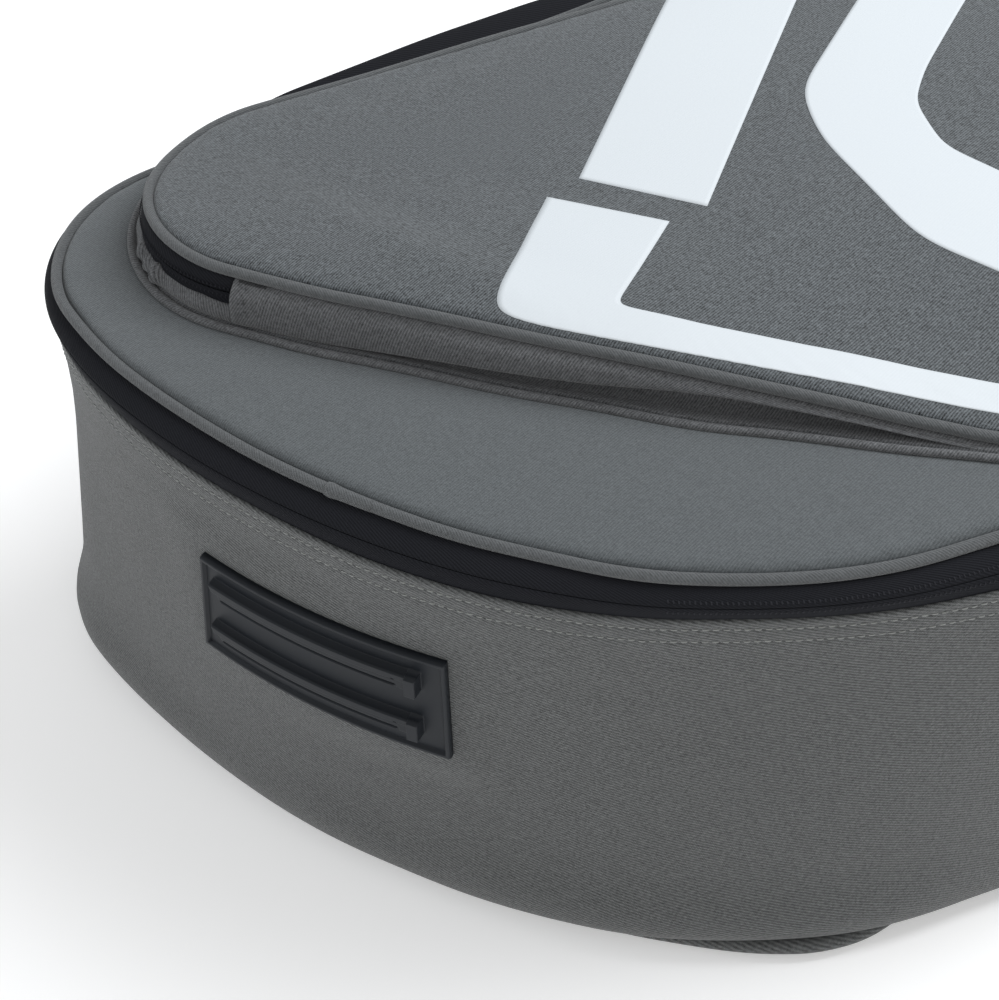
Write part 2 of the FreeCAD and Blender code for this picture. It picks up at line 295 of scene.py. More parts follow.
ZIP_TAPE = ribbed_material("zip_tape", (0.0125, 0.0132, 0.0165), 1.0, 0.5, 1.0, 0.25, 0.10, 0.75, 0.1)
ZIP_COIL = ribbed_material("zip_stitch", (0.022, 0.023, 0.029), 0.5, 1.0, 0.0, 0.2, 0.05, 0.6, 0.2)
WEBBING = ribbed_material("webbing", (0.018, 0.018, 0.020), 1.4, 1.0, 0.0, 0.35, 0.25)
THREAD = ribbed_material("thread", (0.36, 0.37, 0.36), 0.35, 1.0, 0.6, 0.2, 0.05, 0.6)
THREAD_GREY = ribbed_material("thread_grey", (0.085, 0.087, 0.09), 0.35, 1.0, 0.6, 0.2, 0.05, 0.6)
RUBBER = moulded_material("rubber", (0.010, 0.0125, 0.0165), rough=0.5, spec=0.3)
LACQUER = moulded_material("lacquer", (0.02, 0.02, 0.022), rough=0.35, metallic=0.6)
PULL = moulded_material("pull", (0.016, 0.016, 0.018), rough=0.6)
INK = cloth_material("ink", (0.65, 0.69, 0.72), 1.1, (1.0, -0.5), contrast=0.02, depth=0.02,
                     sheen=0.0, rough=0.55, patch=0.02)


# ---------------------------------------------------------------- mesh building
def make_object(name, verts, faces, uvs, mats, face_mats=None):
    """verts in millimetres; uvs per face corner, in millimetres."""
    mesh = bpy.data.meshes.new(name)
    mesh.from_pydata([tuple(v) for v in np.asarray(verts, float) * MM], [], faces)
    mesh.uv_layers.new(name="uv").data.foreach_set("uv", np.ravel(uvs) * MM)
    for mat in mats:
        mesh.materials.append(mat)
    if face_mats is not None:
        mesh.polygons.foreach_set("material_index", face_mats)
    mesh.polygons.foreach_set("use_smooth", [True] * len(mesh.polygons))
    mesh.update()
    obj = bpy.data.objects.new(name, mesh)
    bpy.context.scene.collection.objects.link(obj)
    return obj


def set_piece(obj, body_name, slot, nodes=()):
    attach(obj, body_name)
    if nodes:
        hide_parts(*nodes)
    return obj


def ring(name, trace, offsets, heights, mats, face_mats=None):
    """Sweep a closed cross-section along an outline, from (samples, points) arrays."""
    count, width = offsets.shape
    xy = trace.p[:, None, :] + trace.n[:, None, :] * offsets[:, :, None]
    verts = np.concatenate([xy, heights[:, :, None]], axis=2).reshape(-1, 3)
    gap = np.hypot(*(np.diff(a, axis=1, append=a[:, :1]) for a in (offsets, heights)))
    girth = np.append(0.0, np.cumsum(gap, axis=1).mean(0))
    s = np.append(trace.s, trace.length)
    faces, uvs, kinds = [], [], []
    for i in range(count if trace.closed else count - 1):
        j = (i + 1) % count
        for k in range(width):
            m = (k + 1) % width
            faces.append((i * width + k, j * width + k, j * width + m, i * width + m))
            v0, v1 = girth[k], girth[k + 1]
            uvs += [(s[i], v0), (s[i + 1], v0), (s[i + 1], v1), (s[i], v1)]
        kinds += face_mats or [0] * width
    if not trace.closed:
        for i, way in ((0, 1), (count - 1, -1)):
            faces.append(tuple(range(i * width, (i + 1) * width))[::way])
            uvs += list(zip(offsets[i], heights[i]))[::way]
            kinds.append(0)
    return make_object(name, verts, faces, uvs, mats, kinds)


def fold_ring(name, trace, columns, times, mat, *piece):
    """A folded strip from (offset, height) columns; `piece` is its body, slot and nodes; the slot is not
    used.
    """
    shape = rounded(sections(trace, columns), times)
    set_piece(ring(name, trace, shape[:, :, 0], shape[:, :, 1], [mat]), *piece)
    return shape


def cord(name, trace, offset, height, radius, mat, body_name, node):
    """A round cord along an outline; offset, height and radius are numbers or one per sample."""
    across, up, radius = (np.broadcast_to(v, len(trace.s))[:, None] for v in (offset, height, radius))
    turn = np.arange(16) * 2 * math.pi / 16
    obj = ring(name, trace, across + radius * np.cos(turn), up + radius * np.sin(turn), [mat])
    set_piece(obj, body_name, "piping", (node,))


def filled(name, trace, edge, low, top, mats, steps, thick_edge=0.6):
    """A closed panel inside an outline: crowned top from top(x, y, inside), flat underside at z = low."""
    inner = trace.p + trace.n * np.reshape(edge, (-1, 1))
    centre = np.array([0.0, (trace.p[:, 1].max() + trace.p[:, 1].min()) / 2])
    count = len(trace.s)
    rings = []
    for f in (np.arange(steps) / (steps - 1)) ** 1.6 * 0.985:
        xy = inner + (centre - inner) * f
        inside = np.sqrt(((xy[:, None] - inner[None]) ** 2).sum(2).min(1))
        rings.append(np.column_stack([xy, top(xy[:, 0], xy[:, 1], inside)]))
    rings = [lift3(inner, low), rings[0] - [0, 0, thick_edge]] + rings
    mid_z = top(*(np.array([v]) for v in (*centre, 120.0)))[0]
    verts = np.concatenate(rings + [[[*centre, mid_z], [*centre, low]]])
    faces = [(r + i, r + (i + 1) % count, r + count + (i + 1) % count, r + count + i)
             for r in range(0, (len(rings) - 1) * count, count) for i in range(count)]
    kinds = [0] * len(faces)
    last, mid_top = (len(rings) - 1) * count, len(verts) - 2
    for i in range(count):
        j = (i + 1) % count
        faces += [(last + i, last + j, mid_top), (j, i, mid_top + 1)]
        kinds += [0, len(mats) - 1]
    uvs = [verts[v][:2] for face in faces for v in face]
    return make_object(name, verts, faces, uvs, mats, kinds)


def slab(name, skins, mat, uv=None, flip=False):
    """A closed slab between two (rows, cols, 3) skins, outer first; its UVs are X and Y if not given."""
    rows, cols = skins[0].shape[:2]
    verts = np.concatenate([skin.reshape(-1, 3) for skin in skins])
    half, faces = rows * cols, []
    for a in (r * cols + c for r in range(rows - 1) for c in range(cols - 1)):
        quad = (a, a + 1, a + cols + 1, a + cols)
        faces += [quad, tuple(v + half for v in quad[::-1])]
    rim = [*range(cols), *range(2 * cols - 1, half, cols)]
    rim += [*range(half - 2, half - cols - 1, -1), *range(half - 2 * cols, 0, -cols)]
    faces += [(b, a, a + half, b + half) for a, b in zip(rim, rim[1:] + rim[:1])]
    if flip:
        faces = [face[::-1] for face in faces]
    uv = verts[:, :2] if uv is None else uv
    return make_object(name, verts, faces, uv[np.ravel(faces)], [mat])


def pad_skins(x, y, mid, thick):
    return [np.dstack([x, y, mid + side * thick]) for side in (1, -1)]


def loft(name, rings, mats, uv, kind=None, closed=False):
    """Skin over rings of points, capped unless they close up; uv(ring, side) and kind(ring)."""
    rows, sides = np.shape(rings)[:2]
    faces, uvs, kinds = [], [], []
    for k in range(rows if closed else rows - 1):
        for q in range(sides):
            a, b, m = k * sides, (k + 1) % rows * sides, (q + 1) % sides
            faces.append((a + q, a + m, b + m, b + q))
            uvs += [uv(k, q), uv(k, q + 1), uv(k + 1, q + 1), uv(k + 1, q)]
            kinds.append(kind(k) if kind else 0)
    if not closed:
        faces += [tuple(range(sides))[::-1], tuple(range((rows - 1) * sides, rows * sides))]
        uvs += [(0.0, 0.0)] * (2 * sides)
        kinds += [0, 0]
    return make_object(name, np.reshape(rings, (-1, 3)), faces, uvs, mats, kinds)


def stitches(name, centres, tangents, normals, length, radius, mat, body_name, slot):
    """Short rounded threads, each lying along its tangent on the surface."""
    sides = 6
    profile = np.array([(-0.5, 0.25, -0.9), (-0.36, 0.9, 0.0), (0.0, 1.0, 0.35), (0.36, 0.9, 0.0),
                        (0.5, 0.25, -0.9)]) * (length, radius, radius)
    tangents, normals = (np.broadcast_to(v, centres.shape) for v in (tangents, normals))
    verts, faces, uvs = [], [], []
    for c, t, n in zip(centres, tangents, normals):
        b = np.cross(t, n)
        start = len(verts)
        for x, r, lift in profile:
            for a in 2 * math.pi * np.arange(sides) / sides:
                verts.append(c + t * x + n * (lift + r * math.sin(a)) + b * r * math.cos(a))
        for q in range(len(profile) - 1):
            a, b = start + q * sides, start + (q + 1) * sides
            x0, x1 = profile[q, 0], profile[q + 1, 0]
            for k in range(sides):
                m = (k + 1) % sides
                faces.append((a + k, b + k, b + m, a + m))
                uvs += [(x0, k), (x1, k), (x1, k + 1), (x0, k + 1)]
        faces += [tuple(range(start, start + sides))[::-1], tuple(range(len(verts) - sides, len(verts)))]
        uvs += [(0, 0)] * (2 * sides)
    set_piece(make_object(name, verts, faces, uvs, [mat]), body_name, slot)


def unit(vectors):
    return vectors / np.linalg.norm(vectors, axis=1)[:, None]


def at(trace, s):
    """Point and outward normal at arc length s."""
    ts, tp, tn = trace.s, trace.p, trace.n
    if trace.closed:
        ts = np.append(ts, trace.s[0] + trace.length)
        tp, tn = np.vstack([tp, tp[:1]]), np.vstack([tn, tn[:1]])
    p, n = (np.column_stack([np.interp(s, ts, table[:, i]) for i in (0, 1)]) for table in (tp, tn))
    return p, unit(n)


def along(trace, pitch, lo=None):
    """Evenly spaced positions on an outline: arc length, base point and normal."""
    lo = trace.s[0] if lo is None else lo
    hi = trace.s[0] + trace.length if trace.closed else trace.s[-1]
    s = np.arange(lo + pitch / 2, hi, pitch)
    return s, *at(trace, s)


def lift3(xy, z):
    return np.column_stack([xy, np.broadcast_to(z, len(xy))])


def sideways(normals):
    """Unit vectors along an outline, from its normals."""
    return lift3(np.column_stack([-normals[:, 1], normals[:, 0]]), 0.0)


# ---------------------------------------------------------------- the case: wall
# How the soft bag strays from its outline, by arc length from the middle of the handle end.
TOP_LEAN = ((0, 0), (320, 0), (345, -1.5), (380, -4.5), (408, -4), (430, -1), (470, 0), (550, 0), (592, 1.8),
            (645, 3), (700, 1.8), (722, 0), (780, -0.5), (815, -2), (860, -1), (900, 0), (1400, 0))
FOOT_FLARE = ((0, 7), (300, 8), (340, 14), (380, 19.5), (410, 18), (440, 14.5), (470, 12), (502, 10),
              (540, 9.2), (600, 9.2), (640, 11), (690, 14), (740, 13.5), (775, 13), (798, 10.5), (816, 7.5),
              (835, 5), (870, 5), (910, 7), (1400, 7))
LID_SHIFT = ((0, 0), (300, 0), (380, 0.6), (450, 0.8), (470, -0.8), (500, -2.4), (545, -3), (590, -2.6),
             (625, -0.8), (655, 0.2), (690, 3.1), (735, 2.9), (765, 1.6), (780, 0), (795, -1.8),
             (815, -5.5), (840, -6.5), (870, -4), (910, 0), (1400, 0))
SIDE_PUFF = ((-90, 0), (20, 0), (52, 0.6), (90, 0.9), (150, 1), (235, 0.9), (290, 0), (1400, 0))
FLARE_SHAPE = ((10, 0.72), (12, 0.88), (15, 0.97), (19, 1.0), (24, 0.97), (30, 0.86), (40, 0.68), (50, 0.56),
               (70, 0.42), (90, 0.30), (110, 0.19), (130, 0.08), (150, 0), (170, -0.03), (190, 0))
ROW_Z = (185.6, 179.0)
PLATE_LOW, PLATE_HIGH, PLATE_LEFT, PLATE_RIGHT = 97.0, 149.5, -141.0, -31.0
PLATE_BOX = tuple(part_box("rubber_plate"))


def plate_share(xy, z):
    """1 where the rubber plate is sewn on, fading out around it."""
    low, high = (np.array(corner) / MM for corner in PLATE_BOX)
    x_in = step01(xy[:, 0], low[0] - 26, low[0] - 4) * step01(-xy[:, 0], -high[0] - 26, -high[0] - 4)
    z_in = step01(z, low[2] - 22, low[2] - 3) * step01(-z, -high[2] - 16, -high[2] - 3)
    return x_in * z_in * (xy[:, 1] < 0)


def wall_offset(s, z, xy):
    """Outside of the wall: flared foot, leaning top, slow waves."""
    rise = step01(z, 60, 190)
    shape = np.interp(z, *zip(*FLARE_SHAPE))
    base = eased(s, FOOT_FLARE) * shape + eased(s, TOP_LEAN) * rise
    middle = math.sin(math.pi * min(max((z - 12.0) / 172.0, 0), 1))
    foot = math.exp(-((z - 32.0) / 20.0) ** 2)
    slow = smooth_noise(s, body.length, 170.0, 11)
    quick = smooth_noise(s, body.length, 55.0, 12)
    soft = base + (0.8 * slow - 0.5) * middle + 0.5 * quick * foot
    flat = FLARE * (FOLD_Z - z) / (FOLD_Z - FOOT_Z) + 0.1
    share = plate_share(xy, z)
    return soft * (1 - share) + flat * share


def wall_mesh(name, keep, nodes):
    tr = body.part(keep)
    z_out = np.concatenate([np.array([10.0, 10.8, 12.0, 14.0]), np.arange(17.0, 176.0, 4.5),
                            [176.5, 178.3, 179.0, 179.7, 181.5, 184.0, 185.0, 185.6, 186.2, 187.6, 188.8]])
    groove = np.zeros_like(z_out)
    for row in ROW_Z:
        groove -= 0.3 * np.exp(-((z_out - row) / 0.6) ** 2)
    outer = np.array([wall_offset(tr.s, z, tr.p) for z in z_out]).T + groove
    top = wall_offset(tr.s, 190.0, tr.p)
    fold = [(189.6, -0.35), (190.0, -1.0), (189.7, -1.7), (188.0, -2.1)]
    inner_z = np.array([175.0, 150.0, 110.0, 70.0, 40.0, 20.0, 12.8])
    inner = np.array([wall_offset(tr.s, z, tr.p) - 2.2 for z in inner_z]).T
    n = len(tr.s)
    rim = np.array([top + d for _, d in fold]).T
    offsets = np.concatenate([outer, rim, inner], axis=1)
    tuck = np.minimum(np.arange(n), np.arange(n)[::-1])
    offsets[:, :len(z_out)] -= 1.2 * np.exp(-(tuck / 1.2) ** 2)[:, None]
    levels = np.concatenate([z_out, [z for z, _ in fold], inner_z])
    heights = np.repeat(levels[None, :], n, 0)
    kinds = [0] * (len(z_out) + 2) + [1] * (len(fold) + len(inner_z) - 2)
    obj = ring(name, tr, offsets, heights, [WALL_CLOTH, LINING], kinds)
    return set_piece(obj, "case", "shell", nodes)


wall_mesh("wall_curved_cloth", body.p[:, 1] < SEAM_Y + 2.5, ("wall_near",))
wall_mesh("wall_handle_cloth", body.p[:, 1] > SEAM_Y - 2.5, ("wall_far",))


def wall_stitches():
    """Twin topstitch rows below the folded edge."""
    s, p, n = along(body, 3.55)
    for index, row in enumerate(ROW_Z):
        out = wall_offset(s, row, p) - 0.14
        c = lift3(p + n * out[:, None], row + RNG.normal(0, 0.10, len(s)))
        stitches("wall_topstitch_%d" % (index + 1), c, unit(sideways(n) + [0, 0, 0.04]), lift3(n, 0.0),
                 2.6, 0.32, THREAD, "case", "shell")


wall_stitches()


def back_edge():
    """Back piping, tucked under the wall's foot except where the near right of it has slipped out."""
    slipped = eased(body.s, ((-90, -3), (640, -3), (690, 3.0), (735, 6.5), (762, 8.0), (782, 5.5),
                             (800, -2), (820, -4), (1400, -3)), 8.0)
    wave = smooth_noise(body.s, body.length, 60.0, 21, 0.4)
    loose = np.maximum(slipped, 0)
    cord("back_piping_cloth", body, FLARE - 4.0 + slipped + wave, 7.2 - 0.12 * loose,
         2.5 * (1 + 0.07 * loose), WALL_CLOTH, "case", "back_piping")


back_edge()


# ---------------------------------------------------------------- main zip
def band_point(t, s):
    """Face of the closed zip: t = 0 behind the wall's fold, t = 1 under the piping."""
    bulge = 0.9 + smooth_noise(s, body.length, 240.0, 31, 0.9)
    lean, shift, puff = eased(s, TOP_LEAN), eased(s, LID_SHIFT), eased(s, SIDE_PUFF)
    near_slider = 2.4 * np.exp(-((s - SLIDER_S) / 120.0) ** 6)
    a = (lean - 1.9, 188.6)
    q = (2.6 + bulge + near_slider + 0.5 * (lean + shift) + 27.0 * puff, 198.6 + 13.0 * puff)
    c = (shift - 8.2, 202.3)
    w = ((1 - t) ** 2, 2 * t * (1 - t), t * t)
    return w[0] * a[0] + w[1] * q[0] + w[2] * c[0], w[0] * a[1] + w[1] * q[1] + w[2] * c[1]


def zip_half(name, t0, t1, keep, mat):
    """A strip of the zip's face from t0 to t1, with a lip where the two halves meet."""
    tr = body.part(keep)
    ts = np.linspace(t0, t1, 11)
    off, z = (np.array([np.broadcast_to(v, tr.s.shape) for v in column]).T
              for column in zip(*(band_point(t, tr.s) for t in ts)))
    lip = (ts - t0) / (t1 - t0) if t1 < 0.6 else (t1 - ts) / (t1 - t0)
    off = off + np.exp(-((1 - lip) / 0.2) ** 2) * 0.15
    offsets = np.concatenate([off, off[:, ::-1] - 0.75], axis=1)
    heights = np.concatenate([z, z[:, ::-1] - 0.35], axis=1)
    return ring(name, tr, offsets, heights, [mat])


zip_run = body.p[:, 1] < ZIP_STOP_Y
set_piece(zip_half("main_zip_tape_low", 0.0, 0.49, zip_run, ZIP_TAPE), "case", "zip_tape",
          ("zip_tape_lower",))
set_piece(zip_half("main_zip_tape_high", 0.51, 1.0, zip_run, ZIP_TAPE), "lid", "zip_tape",
          ("zip_tape_upper",))
hinge = zip_half("hinge_cloth", 0.0, 1.0, ~zip_run, GUSSET_CLOTH)
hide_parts("hinge_panel")
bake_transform(hinge)


def zip_marks(name, t, body_name, tilt):
    """The thread that holds the coil shows as a row of short marks."""
    s, p, n = along(body.part(zip_run), MARK_PITCH, lo=700.0)
    off, z = band_point(t, s)
    off2, z2 = band_point(t + 0.02, s)
    up = unit(lift3(n * (off2 - off)[:, None], z2 - z))
    out = np.cross(sideways(n), up)
    out *= np.sign((out[:, :2] * n).sum(1))[:, None]
    stitches(name, lift3(p + n * (off + 0.02)[:, None], z), unit(sideways(n) * 0.35 * tilt + up), out,
             1.4, 0.30, ZIP_COIL, body_name, "zip_tape")


zip_marks("main_zip_marks_low", 0.36, "case", 1.0)
zip_marks("main_zip_marks_high", 0.64, "lid", -1.0)


# ---------------------------------------------------------------- the front
def pucker(x, y, inside, reach, depth, count, seed):
    """Small gathers along a seam."""
    a = np.arctan2(y + 40.0, x)
    wave = np.cos(count * a + seed) + 0.6 * np.cos(count * 1.7 * a + 2.3 * seed)
    return depth * wave * np.exp(-inside / reach) * (1 - np.exp(-inside / 1.5))


def front_top(x, y, inside):
    crown = 3.6 * (1 - np.exp(-inside / 1.3))
    near = 1.6 * np.sin(math.pi * np.clip((-98.0 - y) / 78.0, 0, 1))
    slow = 0.35 * np.sin(x / 46.0 + 1.0) * np.sin(y / 38.0) * (1 - np.exp(-inside / 20.0))
    return LID_TOP - 3.6 + crown + near + slow + pucker(x, y, inside, 10.0, 0.16, 61, 1.0)


front = filled("front_panel_cloth", body, eased(body.s, LID_SHIFT) - 11.0, LID_Z + 0.4, front_top,
               [PANEL_CLOTH, LINING], steps=60)
set_piece(front, "lid", "panel", ("front_panel",))


def piping(name, trace, offset, height, body_name, node, seed):
    wave = smooth_noise(trace.s, trace.length, 70.0, seed, 0.25)
    cord(name, trace, offset + wave, height + 0.6 * wave, PIPING_R, PIPING_CLOTH, body_name, node)


FRONT_EDGE = eased(body.s, LID_SHIFT) - 9.2
piping("front_piping_cloth", body, FRONT_EDGE, LID_Z + 2.3, "lid", "front_piping", 41)


def splice():
    """The piping's ends overlap in a short folded sleeve."""
    tr = body.part((np.abs(body.p[:, 0] + 72.0) < 11.0) & (body.p[:, 1] < -100))
    f = np.linspace(0, 1, len(tr.s))
    swell = 0.3 + 0.4 * np.exp(-((f - 0.12) / 0.1) ** 2) - 0.2 * f
    cord("piping_splice_cloth", tr, eased(tr.s, LID_SHIFT) - 9.2, LID_Z + 2.3, PIPING_R + swell,
         PIPING_CLOTH, "lid", "piping_splice")


splice()


# ---------------------------------------------------------------- the pocket
# By X along the pocket's hinge side: rise of the flap, slip of the flap and of the flange towards
# the curved end, and the height above the front at which the slumped fabric tucks under.
FLAP_RISE = ((-250, 6), (-100, 6.3), (-55, 6.7), (-25, 5.3), (5, 4.2), (25, 3.2), (42, 1.4), (55, 0.2),
             (78, -2.2), (95, -4.2), (112, -7.2), (130, -9.2), (145, -11.3), (250, -11.3))
FLAP_SLIP = ((-250, 1.8), (-100, 1.5), (-85, 0.6), (-25, 0.9), (5, 1.4), (42, 2), (78, 3.5), (112, 5.5),
             (130, 7), (145, 8.5), (160, 8.5), (200, 4), (250, 0))
FLANGE_SLIP = ((-250, 3), (-110, 3.2), (-85, 1.2), (-30, 1.6), (5, 2.8), (50, 4), (100, 4.2), (130, 6),
               (150, 7.5), (200, 4), (250, 0))
ROLL_FOOT = ((-250, 1.6), (-112, 1.8), (-85, 3.2), (-55, 6), (-25, 7.2), (5, 8.6), (25, 10.6), (50, 11),
             (78, 8.8), (95, 7), (112, 5.2), (130, 4.2), (145, 3.2), (250, 3.2))
BASE = LID_TOP + 0.2


def sag(x, y):
    """Height of the flap against flat: puffed at the near left, sunk at the near right."""
    rise = eased(x, FLAP_RISE, 10.0)
    up = np.maximum(rise, 0) * step01(-np.asarray(y), 0.0, 78.0)
    down = np.minimum(rise, 0) * step01(-np.asarray(y), -35.0, 90.0)
    return up + down


def slip(trace, table):
    """Sideways stray of the hinge side; nothing on the far side."""
    return eased(trace.p[:, 0], table, 10.0) * step01(-trace.p[:, 1], -10.0, 70.0)


pocket_near = (pocket.p[:, 0] > ZIP_END_LEFT) & (pocket.p[:, 0] < ZIP_END_RIGHT) & (pocket.p[:, 1] < -30)


def flange():
    """The seam allowance round the foot of the pocket, with its row of stitches."""
    tr = pocket
    go = slip(tr, FLANGE_SLIP) + smooth_noise(tr.s, tr.length, 60.0, 51, 0.35)
    fold_ring("pocket_flange_cloth", tr, [
        (-9.0, BASE + 0.1), (-9.0, BASE + 0.9), (1.0, BASE + 1.2), (1.9 + go, BASE + 2.0),
        (3.6 + go, BASE + 1.9), (4.3 + go, BASE + 0.4), (5.0 + go, BASE + 2.2), (6.8 + go, BASE + 2.5),
        (8.0 + go, BASE + 1.6), (8.0 + go, BASE + 0.1)], 1, GUSSET_CLOTH, "lid", "panel", ("pocket_flange",))
    s, p, n = along(tr, 3.3)
    c = lift3(p + n * (np.interp(s, tr.s, go) + 2.8)[:, None], BASE + 1.62)
    stitches("pocket_flange_stitch", c, sideways(n), (0.0, 0.0, 1.0), 2.3, 0.3, THREAD_GREY, "lid", "panel")


flange()


def roll_section(tr, proud):
    """Slumped gusset: a soft roll under the piping, tucked back above the flange."""
    x = tr.p[:, 0]
    go = slip(tr, FLAP_SLIP)
    under = FLAP_Z + sag(x, tr.p[:, 1])
    foot = BASE + eased(x, ROLL_FOOT, 10.0)
    foot = np.minimum(foot, under - 1.2)
    tall = np.clip((under - foot) / 14.0, 0.12, 1.0)
    wave = smooth_noise(tr.s, tr.length, 75.0, 61, 0.45) * tall
    belly = 1.0 + 4.4 * tall ** 0.6 + go * (1 - 0.4 * tall) + wave + proud
    low = np.minimum(foot - 1.0, BASE + 3.0)
    deep = -2.8 * np.clip((foot - BASE) / 8.0, 0.3, 1.2)
    return [
        (-3.8 + go, under + 0.6), (-0.9 + go, under + 0.5), (0.8 + go, under - 0.6 * tall),
        (belly - 1.1, under - 0.22 * (under - foot)), (belly, under - 0.5 * (under - foot)),
        (belly + 0.7, under - 0.85 * (under - foot)), (belly - 0.8, foot - 0.7), (belly - 4.4, foot + 0.5),
        (deep, 0.5 * (foot + low)), (deep + 0.6, low), (1.6, BASE + 1.5), (3.8, BASE + 1.35),
        (3.8, BASE + 0.9), (-1.6, BASE + 1.0), (deep - 1.4, low), (deep - 1.3, foot),
        (belly - 5.4, foot + 1.4), (belly - 1.7, under - 0.55 * (under - foot)), (-0.6 + go, under - 1.0),
        (-3.8 + go, under - 0.2)]


def gusset_roll():
    tr = pocket.part(pocket_near)
    fold_ring("pocket_gusset_cloth", tr, roll_section(tr, 0.0), 2, GUSSET_CLOTH, "lid", "panel",
              ("pocket_gusset",))
    for side, edge, way in (("left", ZIP_END_LEFT, 1.0), ("right", ZIP_END_RIGHT, -1.0)):
        part = pocket.part((np.abs(pocket.p[:, 0] - edge - way * 6.0) < 8.0) & (pocket.p[:, 1] < -30))
        inward = way * (part.p[:, 0] - edge)
        hem = 0.42 * step01(inward, -2.5, -0.5) * (1 - 0.75 * step01(inward, 5.0, 8.0))
        hem = hem - 0.2 * step01(inward, 9.0, 13.0)
        shape = fold_ring("pocket_zip_end_" + side, part, roll_section(part, hem), 2, GUSSET_CLOTH,
                          "lid", "panel", ("zip_end_cover_" + side,))
        row = int(np.argmin(np.abs(inward - 5.2)))
        outer = shape[row]
        outer = outer[outer[:, 0] > outer[:, 0].mean()]
        reach, z = outer[np.argsort(outer[:, 1])].T
        stitch_z = np.linspace(z.min() + 0.8, z.max() - 0.8, 5)
        out = np.interp(stitch_z, z, reach) + 0.1
        stitches("pocket_zip_end_stitch_" + side, lift3(part.p[row] + part.n[row] * out[:, None], stitch_z),
                 (0.0, 0.0, 1.0), (*part.n[row], 0.0), 1.5, 0.28, THREAD_GREY, "lid", "panel")


gusset_roll()


def zip_side_parts():
    """Zipped sides of the pocket: pleated grey foot, lower tape, then the flap's own tape."""
    tr = pocket.part(~pocket_near)
    go, gf = slip(tr, FLAP_SLIP), slip(tr, FLANGE_SLIP)
    under = FLAP_Z + sag(tr.p[:, 0], tr.p[:, 1])
    room = under - BASE
    fold = smooth_noise(tr.s, tr.length, 13.0, 71, 1.0)
    fold = np.sign(fold) * np.abs(fold) ** 1.3
    for x, tall, wide in ((-181.0, 3.4, 1.7), (-175.5, 4.2, 1.9), (-187.0, 1.8, 1.6)):
        near = tr.s[np.argmin(np.abs(tr.p[:, 0] - x) + 100 * (tr.p[:, 1] > -30))]
        fold = fold + tall * np.exp(-((tr.s - near) / wide) ** 2)
    soft = smooth_noise(tr.s, tr.length, 60.0, 72, 0.5)
    fold_ring("pocket_side_gusset", tr, [
        (2.6, BASE + 1.1), (3.4 + gf, BASE + 1.3), (4.2 + gf + 0.6 * fold, BASE + 0.24 * room),
        (3.8 + go + 0.9 * fold, BASE + 0.40 * room + 0.5 * fold),
        (2.6 + go, BASE + 0.48 * room + 0.8 * fold), (1.2 + go, BASE + 0.42 * room),
        (1.4, BASE + 0.2 * room)], 2, GUSSET_CLOTH, "lid", "panel")
    waved = go + soft
    fold_ring("pocket_zip_tape_low", tr, [
        (2.2 + go, BASE + 0.34 * room), (2.3 + waved, BASE + 0.50 * room), (2.0 + waved, BASE + 0.62 * room),
        (1.7 + waved, BASE + 0.69 * room), (0.9 + waved, BASE + 0.69 * room), (1.0 + go, BASE + 0.5 * room),
        (1.2 + go, BASE + 0.34 * room)], 1, ZIP_TAPE, "lid", "zip_tape", ("pocket_zip_lower",))
    fold_ring("pocket_zip_tape_high", tr, [
        (1.7 + waved, BASE + 0.72 * room), (1.4 + waved, BASE + 0.85 * room), (0.4 + go, under - 0.2),
        (-1.2 + go, under + 0.9), (-2.4 + go, under + 0.6), (-0.6 + go, under - 0.9),
        (0.5 + waved, BASE + 0.85 * room), (0.9 + waved, BASE + 0.72 * room)], 1, ZIP_TAPE,
        "pocket_flap", "zip_tape", ("pocket_zip_upper",))
    s, p, n = along(tr, MARK_PITCH)
    xy = p + n * (np.interp(s, tr.s, waved) + 2.0)[:, None]
    for name, level, body_name, tilt in (("low", 0.60, "lid", 1.0), ("high", 0.80, "pocket_flap", -1.0)):
        stitches("pocket_zip_marks_" + name, lift3(xy, BASE + level * np.interp(s, tr.s, room)),
                 unit(sideways(n) * 0.35 * tilt + [0.0, 0.0, 1.0]), lift3(n, 0.0), 1.3, 0.28, ZIP_COIL,
                 body_name, "zip_tape")


zip_side_parts()


def pocket_top(x, y, inside):
    crown = 2.4 * (1 - np.exp(-inside / 1.2)) + 2.6 * (1 - np.exp(-inside / 14.0))
    wrinkle = (1.1 * np.exp(-((y + 0.42 * x + 92.0) / 9.0) ** 2) * np.exp(-((x + 80.0) / 60.0) ** 2)
               - 1.0 * np.exp(-((y + 0.30 * x + 62.0) / 11.0) ** 2) * np.exp(-((x + 70.0) / 55.0) ** 2)
               - 0.8 * np.exp(-((y - 1.1 * x - 190.0) / 14.0) ** 2) * np.exp(-((x + 100.0) / 40.0) ** 2))
    slow = 0.5 * np.sin(x / 52.0 + 0.4) * np.sin(y / 44.0 + 0.8) * (1 - np.exp(-inside / 18.0))
    soft = wrinkle * (1 - np.exp(-inside / 8.0)) + slow
    return FLAP_Z + 2.4 + crown + soft + sag(x, y) + pucker(x, y, inside, 9.0, 0.14, 73, 2.0)


flap = filled("pocket_panel_cloth", pocket, slip(pocket, FLAP_SLIP) - 4.0, FLAP_Z + 0.2, pocket_top,
              [FLAP_CLOTH, LINING], steps=64)


